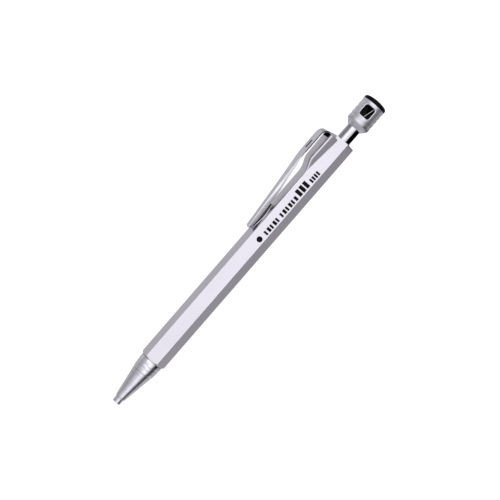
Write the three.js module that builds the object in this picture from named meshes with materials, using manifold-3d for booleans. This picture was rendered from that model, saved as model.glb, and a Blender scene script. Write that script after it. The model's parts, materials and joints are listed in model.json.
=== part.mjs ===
// A push-button mechanical pencil for 2 mm lead, with a hexagonal barrel, a sprung pocket clip and a
// lead sharpener built into the button. Millimetres, +Z up.
//
// The pencil lies along X with its tip towards -X. One flat of the barrel faces down and rests on Z = 0,
// and the clip stands on the flat that is turned 60 degrees from the top towards +Y. The origin is the
// middle of the bottom flat. In the code, x is the distance from the tip.

import * as THREE from 'three';
import { mergeVertices } from 'three/addons/utils/BufferGeometryUtils.js';
import Module from 'manifold-3d';

const wasm = await Module();
wasm.setup();

// Driving dimensions.
const ACROSS_FLATS = 8.88;
const APOTHEM = ACROSS_FLATS / 2;
const CORNER_R = APOTHEM / Math.cos(Math.PI / 6);
const CLIP_TURN = THREE.MathUtils.degToRad(-60);

const TIP_SHOULDER_X = 2.2;
const BARREL_FRONT_X = 19.95;
const BARREL_REAR_X = 124.8;
const KNOB_FRONT_X = 131.05;
const PENCIL_LENGTH = 144;
const ORIGIN_X = (BARREL_FRONT_X + BARREL_REAR_X) / 2;

const LEAD_R = 1;
const LEAD_START_X = 1.2;
const LEAD_LENGTH = 90;
const BORE_R = 3.45;
const STEM_R = 2.65;
const KNOB_R = 4.66;
const KNOB_BORE_R = 3.9;
const FLANGE_R = 4.68;
const WINDOW_XS = [135.9, 140.6];
const WINDOW_HALF = 2.1;
const WINDOW_CORNER_R = 0.9;

const RUNNING_GAP = 0.05;
const SEAT_GAP = 0.03;
const TURN_SIDES = 24;
const WELD = 1e-5;

// The mechanism, from the tip backwards.
const CHUCK_FRONT_X = 13.5;
const CHUCK_ROOT_X = 22;
const CHUCK_R = 1.7;
const CHUCK_HEAD_R = 2.3;
const CHUCK_BORE_R = 1.03;
const CHUCK_SLIT = 0.3;
const JAW_COUNT = 3;
const SLEEVE_FRONT_X = 14.95;
const SLEEVE_REAR_X = 27.5;
const SLEEVE_BORE_R = 2.7;
const SPRING_SEAT_X = 20;
const CONNECTOR_X = 34.05;
const SPRING_MEAN_R = 2.35;
const SPRING_WIRE_R = 0.2;
const SPRING_TURNS = 8;
const TUBE_R = 1.9;
const LEAD_PASSAGE_R = 1.3;
const TUBE_START_X = 39.1;
const TUBE_END_X = 116;
const STEM_START_X = 108;
const STEM_END_X = 135.5;
const FUNNEL_START_X = 131;
const FUNNEL_MOUTH_R = 2.1;
const REAR_BUSH_X = 117.5;

// The clip, in its own frame: x along the pencil, d outwards from the barrel's axis, and the width
// across. The lever is one strip of sheet that folds down at its sides and back under at its tip.
const SHEET = 0.5;
const BASE_TOP_D = 6.59;
const BASE_FRONT_X = 106.6;
const BASE_RAMP_END_X = 113;
const BASE_REAR_X = 123.8;
const BASE_REAR_R = 0.35;
const NOTCH_FRONT_X = 121.95;
const NOTCH_FLOOR_D = 5.2;
const NOTCH_GAP = 0.15;
const BASE_FRONT_HALF = 2.5;
const BASE_REAR_HALF = 3.2;
const BASE_EDGE_R = 0.55;
const BASE_SKIRT_D = 2.9;
const LEVER_TOP_D = 9.71;
const LEVER_REAR_X = 124.05;
const LEVER_BEND_R = 2.9;
const LEVER_HALF = 2.15;
const LEVER_ROOT_D = 5.6;
const LEVER_REAR_FLAT = 2.05;
const LEVER_NOSE_HALF = 1.75;
const SLOT_XS = [113.95, 117.55];
const SLOT_HALF = 0.5;
const SLOT_CORNER_R = 0.45;
const NOSE_BEND_X = 79.95;
const NOSE_BEND_D = 6.15;
const NOSE_BEND_R = 0.93;
const RIVET_XS = { front: 110.5, rear: 115 };
const RIVET_R = 0.6;
const RIVET_HEAD_R = 1;
const RIVET_HEAD_H = 0.3;
const RIVET_SIDES = 12;
const RIVET_FOOT_D = 2.9;
const RIVET_TOP_D = 5.2;

// Finishes.
const satinAluminium = () => metal(0xc9c6d0, 0.42);
const turnedSteel = () => metal(0xb9b6bf, 0.22);
const brightChrome = () => metal(0xd8d8dc, 0.08);
const satinSilver = () => metal(0xb4b1ba, 0.38);
const brass = () => metal(0xc2a05a, 0.3);
const springSteel = () => metal(0x8f9195, 0.3);
const blackPlastic = () => plastic(0x0b0b0c, 0.25);
const greyPlastic = () => plastic(0x6e6f74, 0.5);
const blackRubber = () => plastic(0x161616, 0.8);
const graphite = () => plastic(0x3a3a3e, 0.45);

function metal(color, roughness) {
  return new THREE.MeshStandardMaterial({ color, roughness, metalness: 1 });
}

function plastic(color, roughness) {
  return new THREE.MeshStandardMaterial({ color, roughness, metalness: 0 });
}

function named(name, geometry, material) {
  const mesh = new THREE.Mesh(geometry, material);
  mesh.name = name;
  return mesh;
}

// A closed mesh with shared vertices: the triangles that collapse on the axis are left out.
function closed(geometry) {
  geometry.deleteAttribute('normal');
  geometry.deleteAttribute('uv');
  const welded = mergeVertices(geometry, WELD);
  const index = welded.getIndex().array;
  const kept = [];
  for (let i = 0; i < index.length; i += 3) {
    const [a, b, c] = index.slice(i, i + 3);
    if (a !== b && b !== c && c !== a) {
      kept.push(a, b, c);
    }
  }
  welded.setIndex(kept);
  return welded;
}

function toSolid(geometry) {
  const mesh = closed(geometry);
  const vertProperties = new Float32Array(mesh.getAttribute('position').array);
  const triVerts = new Uint32Array(mesh.getIndex().array);
  return new wasm.Manifold(new wasm.Mesh({ numProp: 3, vertProperties, triVerts }));
}

function toGeometry(solid) {
  const mesh = solid.getMesh();
  const geometry = new THREE.BufferGeometry();
  geometry.setAttribute('position', new THREE.BufferAttribute(mesh.vertProperties, 3));
  geometry.setIndex(new THREE.BufferAttribute(mesh.triVerts, 1));
  geometry.computeVertexNormals();
  return geometry;
}

function cut(geometry, ...tools) {
  return toGeometry(tools.reduce((solid, tool) => solid.subtract(toSolid(tool)), toSolid(geometry)));
}

function overlap(geometry, other) {
  return toGeometry(toSolid(geometry).intersect(toSolid(other)));
}

// A turned piece about the pencil's axis. outer and bore list [x, radius] from the tip backwards, and a
// solid piece has no bore.
function turned(outer, bore = [], sides = TURN_SIDES) {
  const loop = [...outer, ...[...bore].reverse()];
  if (bore.length > 0) {
    loop.push(outer[0]);
  }
  const profile = loop.map(([x, r]) => new THREE.Vector2(r, x));
  const geometry = new THREE.LatheGeometry(profile, sides);
  const axisOntoX = new THREE.Matrix4().makeBasis(
    new THREE.Vector3(0, 1, 0),
    new THREE.Vector3(1, 0, 0),
    new THREE.Vector3(0, 0, -1),
  );
  return closed(geometry.applyMatrix4(axisOntoX));
}

function rod(x0, x1, r, sides = TURN_SIDES) {
  return turned([[x0, 0], [x0, r], [x1, r], [x1, 0]], [], sides);
}

// A prism along X. The shape's own x and y are the pencil's Y and Z.
function prismAlongX(shape, x0, x1) {
  const geometry = new THREE.ExtrudeGeometry(shape, { depth: x1 - x0, bevelEnabled: false });
  const depthOntoX = new THREE.Matrix4().makeBasis(
    new THREE.Vector3(0, 1, 0),
    new THREE.Vector3(0, 0, 1),
    new THREE.Vector3(1, 0, 0),
  );
  return geometry.applyMatrix4(depthOntoX).translate(x0, 0, 0);
}

function block([x0, x1], [y0, y1], [z0, z1]) {
  const geometry = new THREE.BoxGeometry(x1 - x0, y1 - y0, z1 - z0);
  return geometry.translate((x0 + x1) / 2, (y0 + y1) / 2, (z0 + z1) / 2);
}

// A prism along Z with rounded corners, such as a window or a slot cutter.
function roundedCutter([x0, x1], halfWidth, cornerR, [z0, z1]) {
  const shape = new THREE.Shape();
  shape.moveTo(x0 + cornerR, -halfWidth);
  shape.lineTo(x1 - cornerR, -halfWidth);
  shape.absarc(x1 - cornerR, -halfWidth + cornerR, cornerR, -Math.PI / 2, 0);
  shape.lineTo(x1, halfWidth - cornerR);
  shape.absarc(x1 - cornerR, halfWidth - cornerR, cornerR, 0, Math.PI / 2);
  shape.lineTo(x0 + cornerR, halfWidth);
  shape.absarc(x0 + cornerR, halfWidth - cornerR, cornerR, Math.PI / 2, Math.PI);
  shape.lineTo(x0, -halfWidth + cornerR);
  shape.absarc(x0 + cornerR, -halfWidth + cornerR, cornerR, Math.PI, Math.PI * 1.5);
  const settings = { depth: z1 - z0, bevelEnabled: false, curveSegments: 4 };
  return new THREE.ExtrudeGeometry(shape, settings).translate(0, 0, z0);
}

// A hexagon with flats facing up and down, its corners on the turned pieces' vertices.
function hexagon(apothem) {
  const corners = [0, 1, 2, 3, 4, 5].map((i) => {
    const angle = (i * Math.PI) / 3;
    const r = apothem / Math.cos(Math.PI / 6);
    return new THREE.Vector2(r * Math.cos(angle), r * Math.sin(angle));
  });
  return new THREE.Shape(corners);
}

// A cylinder that stands on the clip's flat, in the clip's frame.
function upright(x, r, d0, d1, sides) {
  const geometry = new THREE.CylinderGeometry(r, r, d1 - d0, sides);
  return geometry.rotateX(Math.PI / 2).translate(x, 0, (d0 + d1) / 2);
}

function hexBarrel() {
  const frontChamfer = 0.75;
  const rearChamfer = 0.3;
  const blankR = CORNER_R + 0.1;
  const blank = turned([
    [BARREL_FRONT_X, 0],
    [BARREL_FRONT_X, blankR - frontChamfer],
    [BARREL_FRONT_X + frontChamfer, blankR],
    [BARREL_REAR_X - rearChamfer, blankR],
    [BARREL_REAR_X, blankR - rearChamfer],
    [BARREL_REAR_X, 0],
  ]);
  const bar = overlap(prismAlongX(hexagon(APOTHEM), BARREL_FRONT_X, BARREL_REAR_X), blank);
  const rivetHoles = Object.values(RIVET_XS).map((x) =>
    upright(x, RIVET_R + RUNNING_GAP, 0, CORNER_R, RIVET_SIDES).rotateX(CLIP_TURN),
  );
  return cut(bar, rod(BARREL_FRONT_X - 1, BARREL_REAR_X + 1, BORE_R), ...rivetHoles);
}

// The cone, three turned rings behind it and the threaded spigot inside the barrel.
function noseCone() {
  const spigotEndX = 26;
  const depth = 0.13;
  const groove = (x, r) => [[x, r], [x + 0.06, r - depth], [x + 0.22, r - depth], [x + 0.28, r + 0.02]];
  const outer = [
    [TIP_SHOULDER_X, 1.86],
    [2.4, 2.03],
    ...groove(14.3, 3.91),
    [15.1, 4.12],
    ...groove(16.15, 4.27),
    ...groove(17.6, 4.36),
    [BARREL_FRONT_X - RUNNING_GAP, 4.47],
    [BARREL_FRONT_X - RUNNING_GAP, BORE_R - SEAT_GAP],
    [spigotEndX, BORE_R - SEAT_GAP],
  ];
  const bore = [
    [TIP_SHOULDER_X, 1.68],
    [5.95, 1.68],
    [5.95, 2.06],
    [9.2, 2.06],
    [9.2, 2.72],
    [SLEEVE_FRONT_X - RUNNING_GAP, 2.72],
    [SLEEVE_FRONT_X - RUNNING_GAP, 3.05],
    [spigotEndX, 3.05],
  ];
  return turned(outer, bore);
}

function tipSleeve() {
  const outer = [[0, 1.5], [0.15, 1.65], [6, 1.65], [6, 2.02], [6.8, 2.02]];
  const bore = [[0, 1.2], [0.12, LEAD_R + 0.08], [6.8, LEAD_R + 0.08]];
  return turned(outer, bore);
}

function leadRetainer() {
  const outer = [[6.85, 1.85], [7, 2.02], [8.7, 2.02], [8.85, 1.85]];
  const bore = [[6.85, 1.2], [7.5, LEAD_R + 0.02], [8.2, LEAD_R + 0.02], [8.85, 1.2]];
  return turned(outer, bore);
}

// The three jaws are one turned collet, slit lengthwise. This makes the jaw that faces up.
function chuckJaw() {
  const collet = turned(
    [
      [CHUCK_FRONT_X, CHUCK_HEAD_R - 0.15],
      [CHUCK_FRONT_X + 0.15, CHUCK_HEAD_R],
      [15, CHUCK_HEAD_R],
      [17, CHUCK_R],
      [CHUCK_ROOT_X, CHUCK_R],
    ],
    [[CHUCK_FRONT_X, CHUCK_BORE_R], [CHUCK_ROOT_X, CHUCK_BORE_R]],
  );
  const half = Math.PI / JAW_COUNT;
  const reach = 3 * CHUCK_HEAD_R;
  const apexZ = CHUCK_SLIT / 2 / Math.sin(half);
  const wedge = new THREE.Shape([
    new THREE.Vector2(0, apexZ),
    new THREE.Vector2(reach * Math.sin(half), apexZ + reach * Math.cos(half)),
    new THREE.Vector2(-reach * Math.sin(half), apexZ + reach * Math.cos(half)),
  ]);
  return overlap(collet, prismAlongX(wedge, CHUCK_FRONT_X - 1, CHUCK_ROOT_X + 1));
}

function chuckBase() {
  const frontX = CHUCK_ROOT_X + 0.15;
  const outer = [[frontX, CHUCK_R], [frontX + 0.5, TUBE_R], [34, TUBE_R], [34, 1.7], [38, 1.7]];
  return turned(outer, [[frontX, 1.2], [38, 1.2]]);
}

function clutchRing() {
  const outer = [[16.2, 2.5], [16.3, 2.6], [18.1, 2.6], [18.2, 2.5]];
  const bore = [[16.2, 2.08], [16.7, 2], [18.2, 2]];
  return turned(outer, bore);
}

function clutchSleeve() {
  const outer = [
    [SLEEVE_FRONT_X, 3.02],
    [26.05, 3.02],
    [26.05, BORE_R - SEAT_GAP],
    [SLEEVE_REAR_X, BORE_R - SEAT_GAP],
  ];
  const bore = [
    [SLEEVE_FRONT_X, 2.42],
    [15.3, 2.42],
    [15.3, SLEEVE_BORE_R],
    [19.2, SLEEVE_BORE_R],
    [19.2, 2.02],
    [SPRING_SEAT_X, 2.02],
    [SPRING_SEAT_X, SLEEVE_BORE_R],
    [SLEEVE_REAR_X, SLEEVE_BORE_R],
  ];
  return turned(outer, bore);
}

function returnSpring() {
  const startX = SPRING_SEAT_X + SPRING_WIRE_R + RUNNING_GAP;
  const endX = CONNECTOR_X - SPRING_WIRE_R - RUNNING_GAP;
  const stepsPerTurn = 12;
  const steps = SPRING_TURNS * stepsPerTurn;
  const points = Array.from({ length: steps + 1 }, (_, i) => {
    const angle = (i / stepsPerTurn) * 2 * Math.PI;
    const x = startX + ((endX - startX) * i) / steps;
    return new THREE.Vector3(x, SPRING_MEAN_R * Math.cos(angle), SPRING_MEAN_R * Math.sin(angle));
  });
  const wire = new THREE.Shape().absarc(0, 0, SPRING_WIRE_R, 0, 2 * Math.PI);
  const extrudePath = new THREE.CatmullRomCurve3(points);
  return closed(new THREE.ExtrudeGeometry(wire, { steps, extrudePath, curveSegments: 3 }));
}

function chuckConnector() {
  const outer = [[CONNECTOR_X, 2.62], [43.8, 2.62], [44, 2.42]];
  const bore = [
    [CONNECTOR_X, 1.74],
    [38.2, 1.74],
    [38.2, 1.3],
    [39, 1.3],
    [39, TUBE_R + SEAT_GAP],
    [44, TUBE_R + SEAT_GAP],
  ];
  return turned(outer, bore);
}

function leadTube() {
  return turned(
    [[TUBE_START_X, TUBE_R], [TUBE_END_X, TUBE_R]],
    [[TUBE_START_X, LEAD_PASSAGE_R], [TUBE_END_X, LEAD_PASSAGE_R]],
  );
}

function buttonStem() {
  const outer = [[STEM_START_X, STEM_R], [STEM_END_X - 0.2, STEM_R], [STEM_END_X, STEM_R - 0.2]];
  const bore = [
    [STEM_START_X, TUBE_R + SEAT_GAP],
    [TUBE_END_X + 0.1, TUBE_R + SEAT_GAP],
    [TUBE_END_X + 0.1, LEAD_PASSAGE_R],
    [FUNNEL_START_X, LEAD_PASSAGE_R],
    [STEM_END_X, FUNNEL_MOUTH_R],
  ];
  return turned(outer, bore);
}

function rearBush() {
  const rearX = BARREL_REAR_X - 0.1;
  return turned(
    [[REAR_BUSH_X, BORE_R - SEAT_GAP], [rearX, BORE_R - SEAT_GAP]],
    [[REAR_BUSH_X, STEM_R + RUNNING_GAP], [rearX, STEM_R + RUNNING_GAP]],
  );
}

// The button: a flared front, a smooth ring, four shallow grooves and a window in the top.
function knobShell() {
  const rearX = 142;
  const grooveXs = [134.6, 136.45, 138.3, 140.15];
  const grooveDepth = 0.12;
  const grooveWidth = 0.5;
  const grooves = grooveXs.flatMap((x) => [
    [x, KNOB_R],
    [x + grooveWidth / 2, KNOB_R - grooveDepth],
    [x + grooveWidth, KNOB_R],
  ]);
  const outer = [[KNOB_FRONT_X, 3], [132.95, 4.58], [133.2, KNOB_R], ...grooves, [rearX, KNOB_R]];
  const bore = [
    [KNOB_FRONT_X, STEM_R + 0.1],
    [132.6, STEM_R + 0.1],
    [133.3, KNOB_BORE_R],
    [rearX, KNOB_BORE_R],
  ];
  const window = roundedCutter(WINDOW_XS, WINDOW_HALF, WINDOW_CORNER_R, [WINDOW_HALF, KNOB_R + 1]);
  return cut(turned(outer, bore), window);
}

function knobBush() {
  const [frontX, rearX] = [133.35, 135.65];
  return turned(
    [[frontX, KNOB_BORE_R - SEAT_GAP], [rearX, KNOB_BORE_R - SEAT_GAP]],
    [[frontX, STEM_R + SEAT_GAP], [rearX, STEM_R + SEAT_GAP]],
  );
}

// The blade stands on edge beside the lead, along the slope of the sharpener's cone.
const CONE_APEX_X = 136.5;
const CONE_MOUTH_X = 140.6;
const CONE_MOUTH_R = 1.12;
const BLADE_XS = [-0.35, 4.6];
const BLADE_THICK = 0.4;
const BLADE_TOP_Z = 2.9;

function bladePlate(margin) {
  const slope = Math.atan2(CONE_MOUTH_R, CONE_MOUTH_X - CONE_APEX_X);
  const plate = block(
    [BLADE_XS[0] - margin, BLADE_XS[1] + margin],
    [-BLADE_THICK - margin, margin],
    [-margin, BLADE_TOP_Z + margin],
  );
  return plate.rotateZ(-slope).translate(CONE_APEX_X, -SEAT_GAP, 0);
}

function sharpenerBlade() {
  return closed(bladePlate(0));
}

// The insert: a guide hole and a cone for the lead, a chip pocket under the window and the end flange.
function sharpenerBody() {
  const frontX = 135.7;
  const outer = [
    [frontX, 0],
    [frontX, KNOB_BORE_R - SEAT_GAP],
    [142.05, KNOB_BORE_R - SEAT_GAP],
    [142.05, FLANGE_R - 0.05],
    [142.12, FLANGE_R],
    [142.95, FLANGE_R],
    [143.35, FLANGE_R - 0.3],
    [143.65, FLANGE_R - 1.05],
    [143.9, 2.2],
    [PENCIL_LENGTH, 1.35],
    [143.8, CONE_MOUTH_R],
    [CONE_MOUTH_X, CONE_MOUTH_R],
    [CONE_APEX_X, 0],
  ];
  const pocket = block([136.2, 140.8], [-2.2, 2.2], [0.35, KNOB_R]);
  return cut(turned(outer), pocket, bladePlate(SEAT_GAP));
}

function lead() {
  const endX = LEAD_START_X + LEAD_LENGTH;
  return turned([
    [LEAD_START_X, 0],
    [LEAD_START_X, 0.8],
    [LEAD_START_X + 0.2, LEAD_R],
    [endX, LEAD_R],
    [endX, 0],
  ]);
}

// A solid through a row of sections. Each section is a ring of points, the first half its outer side
// and the second half its inner side, walked back.
function lofted(rings) {
  const count = rings[0].length;
  const half = count / 2;
  const index = [];
  const quad = (a, b, c, d) => index.push(a, b, c, a, c, d);
  for (let i = 0; i + 1 < rings.length; i += 1) {
    for (let j = 0; j < count; j += 1) {
      const next = (j + 1) % count;
      quad(i * count + j, i * count + next, (i + 1) * count + next, (i + 1) * count + j);
    }
  }
  const last = (rings.length - 1) * count;
  for (let j = 0; j + 1 < half; j += 1) {
    const back = count - 1 - j;
    quad(j, back, back - 1, j + 1);
    quad(last + j, last + j + 1, last + back - 1, last + back);
  }
  const geometry = new THREE.BufferGeometry();
  geometry.setAttribute('position', new THREE.Float32BufferAttribute(rings.flat(2), 3));
  geometry.setIndex(index);
  return geometry;
}

// The clip's raised base: a ramp, a flat top with rounded edges, and sides that reach down over the
// two ridges beside the clip's flat.
function clipBase() {
  const rampPart = (x) => THREE.MathUtils.smoothstep(x, BASE_FRONT_X, BASE_RAMP_END_X);
  const topAt = (x) => THREE.MathUtils.lerp(APOTHEM + 0.1, BASE_TOP_D, rampPart(x));
  const alongAt = (x) => (x - BASE_FRONT_X) / (BASE_REAR_X - BASE_FRONT_X);
  const halfAt = (x) => THREE.MathUtils.lerp(BASE_FRONT_HALF, BASE_REAR_HALF, alongAt(x));
  const section = (x, half, top) => {
    const edge = Math.min(BASE_EDGE_R, (top - APOTHEM) * 0.8);
    const low = edge * 0.3;
    const side = [[half, BASE_SKIRT_D], [half, top - edge], [half - low, top - low], [half - edge, top]];
    const mirrored = [...side].reverse().map(([y, d]) => [-y, d]);
    const floor = [-0.9, -0.7, -0.4, 0, 0, 0.4, 0.7, 0.9].map((k) => [k * half, BASE_SKIRT_D]);
    return [...side, ...mirrored, ...floor].map(([y, d]) => [x, y, d]);
  };
  const roundStart = BASE_REAR_X - BASE_REAR_R;
  const bodyXs = [BASE_FRONT_X, 107.6, 108.6, 109.6, 110.6, 111.6, 112.3, BASE_RAMP_END_X, 117, roundStart];
  const rearRound = [[0.62, 0.14], [0.9, 0.42], [1, 0.85]];
  const rings = [
    ...bodyXs.map((x) => section(x, halfAt(x), topAt(x))),
    ...rearRound.map(([along, inset]) =>
      section(roundStart + along * BASE_REAR_R, BASE_REAR_HALF - inset * BASE_REAR_R, BASE_TOP_D),
    ),
  ];
  const hexCore = prismAlongX(hexagon(APOTHEM + SEAT_GAP), BASE_FRONT_X - 1, BASE_REAR_X + 1);
  const notchHalf = LEVER_HALF + NOTCH_GAP;
  const rootNotch = block(
    [NOTCH_FRONT_X, BASE_REAR_X + 1],
    [-notchHalf, notchHalf],
    [NOTCH_FLOOR_D, BASE_TOP_D + 1],
  );
  const rivetHoles = Object.values(RIVET_XS).map((x) =>
    upright(x, RIVET_R + RUNNING_GAP, BORE_R, RIVET_TOP_D + RUNNING_GAP, RIVET_SIDES),
  );
  return cut(lofted(rings), hexCore, rootNotch, ...rivetHoles);
}

function clipRivet(x) {
  const shank = toSolid(upright(x, RIVET_R, RIVET_FOOT_D, RIVET_TOP_D, RIVET_SIDES));
  const head = toSolid(upright(x, RIVET_HEAD_R, RIVET_FOOT_D, RIVET_FOOT_D + RIVET_HEAD_H, RIVET_SIDES));
  return toGeometry(shank.add(head));
}

// The lever's stations from its root at the rear to the end of its contact tongue. Each has its place
// on the strip's outer side, the direction it runs in, half the width of its flat, its half width over
// the folded sides, and how far those sides hang down.
function leverStations() {
  const rearFlat = { flat: LEVER_REAR_FLAT, half: LEVER_HALF, drop: 0 };
  const bendX = LEVER_REAR_X - LEVER_BEND_R;
  const bendD = LEVER_TOP_D - LEVER_BEND_R;
  const stations = [{ x: LEVER_REAR_X, d: LEVER_ROOT_D, heading: 90, ...rearFlat }];
  for (let angle = 0; angle <= 90; angle += 15) {
    const turn = THREE.MathUtils.degToRad(angle);
    const x = bendX + LEVER_BEND_R * Math.cos(turn);
    const d = bendD + LEVER_BEND_R * Math.sin(turn);
    stations.push({ x, d, heading: 90 + angle, ...rearFlat });
  }
  const arm = [
    [118, LEVER_TOP_D, 180, LEVER_REAR_FLAT, 0],
    [112.6, LEVER_TOP_D, 180, 2.02, 0.03],
    [110, 9.68, 181.5, 1.88, 0.28],
    [107.5, 9.58, 183, 1.53, 0.7],
    [105.2, 9.42, 184.5, 1.27, 0.92],
    [101.6, 9.12, 185, 1.05, 1.05],
    [96.6, 8.67, 185, 0.95, 1.45],
    [90.8, 8.14, 185.4, 0.82, 1.35],
    [85, 7.58, 186, 0.8, 1.2],
    [82, 7.27, 186, 0.78, 1],
  ];
  const [taperEndX, taperStartX] = [82, 96];
  arm.forEach(([x, d, heading, flat, drop]) => {
    const taper = (Math.min(x, taperStartX) - taperEndX) / (taperStartX - taperEndX);
    const half = THREE.MathUtils.lerp(LEVER_NOSE_HALF, LEVER_HALF, taper);
    stations.push({ x, d, heading, flat, half, drop });
  });
  const noseSteps = 6;
  const noseHeadings = [186, 352];
  for (let i = 0; i <= noseSteps; i += 1) {
    const share = i / noseSteps;
    const heading = THREE.MathUtils.lerp(noseHeadings[0], noseHeadings[1], share);
    const turn = THREE.MathUtils.degToRad(heading - 90);
    stations.push({
      x: NOSE_BEND_X + NOSE_BEND_R * Math.cos(turn),
      d: NOSE_BEND_D + NOSE_BEND_R * Math.sin(turn),
      heading,
      flat: THREE.MathUtils.lerp(0.78, 1.1, share),
      half: THREE.MathUtils.lerp(1.6, 1.25, share),
      drop: 0.7 * (1 - share) ** 2,
    });
  }
  const tongue = [
    [83, 4.7, 353],
    [84.8, 4.51, 357],
    [86, APOTHEM + 0.04, 360],
    [87.3, 4.55, 367],
    [89, 4.84, 372],
    [90.9, 5.3, 375],
  ];
  tongue.forEach(([x, d, heading]) => {
    stations.push({ x, d, heading, flat: 1.1, half: 1.25, drop: 0 });
  });
  return stations;
}

// One ring of the lever: the outer side of the strip, then its inner side one sheet thickness away.
function leverRing({ x, d, heading, flat, half, drop }) {
  const turn = THREE.MathUtils.degToRad(heading - 90);
  const [outX, outD] = [Math.cos(turn), Math.sin(turn)];
  const side = Math.hypot(half - flat, drop);
  const [downPart, outPart] = [drop / side, (half - flat) / side];
  const foldInset = SHEET * Math.tan(Math.atan2(drop, half - flat) / 2);
  const outer = [[-half, -drop], [-flat, 0], [flat, 0], [half, -drop]];
  const innerEdge = [half - SHEET * downPart, -drop - SHEET * outPart];
  const innerFold = [flat - foldInset, -SHEET];
  const inner = [innerEdge, innerFold, [-innerFold[0], innerFold[1]], [-innerEdge[0], innerEdge[1]]];
  return [...outer, ...inner].map(([y, n]) => [x + outX * n, y, d + outD * n]);
}

function clipLever() {
  const strip = lofted(leverStations().map(leverRing));
  return cut(strip, roundedCutter(SLOT_XS, SLOT_HALF, SLOT_CORNER_R, [LEVER_TOP_D - 2, LEVER_TOP_D + 1]));
}

function turnedWithClip(...meshes) {
  const group = new THREE.Group();
  group.add(...meshes);
  group.rotation.x = CLIP_TURN;
  return group;
}

function buildPencil() {
  const pencil = new THREE.Group();
  pencil.position.set(-ORIGIN_X, 0, APOTHEM);
  pencil.add(
    named('hex_barrel', hexBarrel(), satinAluminium()),
    named('nose_cone', noseCone(), turnedSteel()),
    named('tip_sleeve', tipSleeve(), brightChrome()),
    named('lead_retainer', leadRetainer(), blackRubber()),
    named('clutch_sleeve', clutchSleeve(), greyPlastic()),
    named('clutch_ring', clutchRing(), brass()),
    named('return_spring', returnSpring(), springSteel()),
    named('chuck_base', chuckBase(), brass()),
    named('chuck_connector', chuckConnector(), brass()),
    named('lead_tube', leadTube(), greyPlastic()),
    named('lead', lead(), graphite()),
    named('button_stem', buttonStem(), brightChrome()),
    named('rear_bush', rearBush(), greyPlastic()),
    named('knob_shell', knobShell(), satinSilver()),
    named('knob_bush', knobBush(), blackPlastic()),
    named('sharpener_body', sharpenerBody(), blackPlastic()),
    named('sharpener_blade', sharpenerBlade(), springSteel()),
  );
  for (let i = 0; i < JAW_COUNT; i += 1) {
    const jaw = named(`chuck_jaw_${i + 1}`, chuckJaw(), brass());
    jaw.rotation.x = (i * 2 * Math.PI) / JAW_COUNT;
    pencil.add(jaw);
  }
  pencil.add(
    turnedWithClip(
      named('clip_base', clipBase(), satinAluminium()),
      named('clip_lever', clipLever(), brightChrome()),
      named('clip_rivet_front', clipRivet(RIVET_XS.front), springSteel()),
      named('clip_rivet_rear', clipRivet(RIVET_XS.rear), springSteel()),
    ),
  );
  return pencil;
}

const pencil = buildPencil();
export default pencil;
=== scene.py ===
"""The looks of a push-button pencil: a hexagonal barrel, a sheet-metal clip and a sharpener in its button.

Every shape is made in pencil millimetres: x runs from the tip to the button, y and z start at the pencil's
axis, and z points up out of the printed flat. Clip shapes use x, the width across the clip and d, the
distance from the axis. Both are turned into the frame's metres when a piece is made.
"""

import json
import math

import bmesh
import bpy
from mathutils import Matrix, Vector


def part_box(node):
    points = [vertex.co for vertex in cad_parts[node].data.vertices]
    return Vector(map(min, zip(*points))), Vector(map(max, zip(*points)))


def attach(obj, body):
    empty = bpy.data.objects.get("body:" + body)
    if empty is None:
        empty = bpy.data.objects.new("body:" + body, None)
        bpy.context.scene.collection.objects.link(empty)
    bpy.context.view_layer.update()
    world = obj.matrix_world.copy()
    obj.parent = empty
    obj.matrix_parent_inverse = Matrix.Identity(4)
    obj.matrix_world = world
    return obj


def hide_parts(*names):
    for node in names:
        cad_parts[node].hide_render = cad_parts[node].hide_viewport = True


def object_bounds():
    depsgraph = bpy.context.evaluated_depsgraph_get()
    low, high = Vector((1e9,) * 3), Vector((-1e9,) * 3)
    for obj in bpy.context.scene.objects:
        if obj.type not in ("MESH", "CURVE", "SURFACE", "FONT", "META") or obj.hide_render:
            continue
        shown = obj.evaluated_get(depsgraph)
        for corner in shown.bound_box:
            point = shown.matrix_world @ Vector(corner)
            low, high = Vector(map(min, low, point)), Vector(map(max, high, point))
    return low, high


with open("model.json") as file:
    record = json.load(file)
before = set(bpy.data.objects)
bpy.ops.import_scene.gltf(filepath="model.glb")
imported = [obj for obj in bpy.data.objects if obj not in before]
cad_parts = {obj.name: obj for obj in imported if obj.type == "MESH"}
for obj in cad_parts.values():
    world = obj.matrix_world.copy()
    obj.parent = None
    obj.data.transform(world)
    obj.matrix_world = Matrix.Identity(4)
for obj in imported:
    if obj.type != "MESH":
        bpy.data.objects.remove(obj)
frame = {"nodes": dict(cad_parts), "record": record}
cad_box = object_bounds()

MM = 0.001
TIP_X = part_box("tip_sleeve")[0].x
BARREL_LOW, BARREL_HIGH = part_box("hex_barrel")
AXIS_Z = (BARREL_LOW.z + BARREL_HIGH.z) / 2
APOTHEM = (BARREL_HIGH.z - BARREL_LOW.z) / 2 / MM
CORNER_R = APOTHEM / math.cos(math.pi / 6)
TO_FRAME = Matrix.Translation((TIP_X, 0, AXIS_Z)) @ Matrix.Scale(MM, 4)
CLIP_TO_FRAME = TO_FRAME @ Matrix.Rotation(math.radians(-60), 4, "X")

# Segments round a turned shape, steps in a rounded corner, the angle in degrees up to which a surface is
# smooth, how close two points merge, in metres, and the radius below which a point lies on the axis.
SEGMENTS = 96
CORNER_STEPS = 4
SMOOTH_ANGLE = 35
SAME_PLACE = 1e-8
ON_AXIS = 1e-6


class Span:
    """A CAD node's start and end along the pencil, and its radius, in millimetres."""

    def __init__(self, node):
        low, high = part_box(node)
        self.start = (low.x - TIP_X) / MM
        self.end = (high.x - TIP_X) / MM
        self.radius = (high.z - low.z) / 2 / MM


# ---------------- materials


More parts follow.
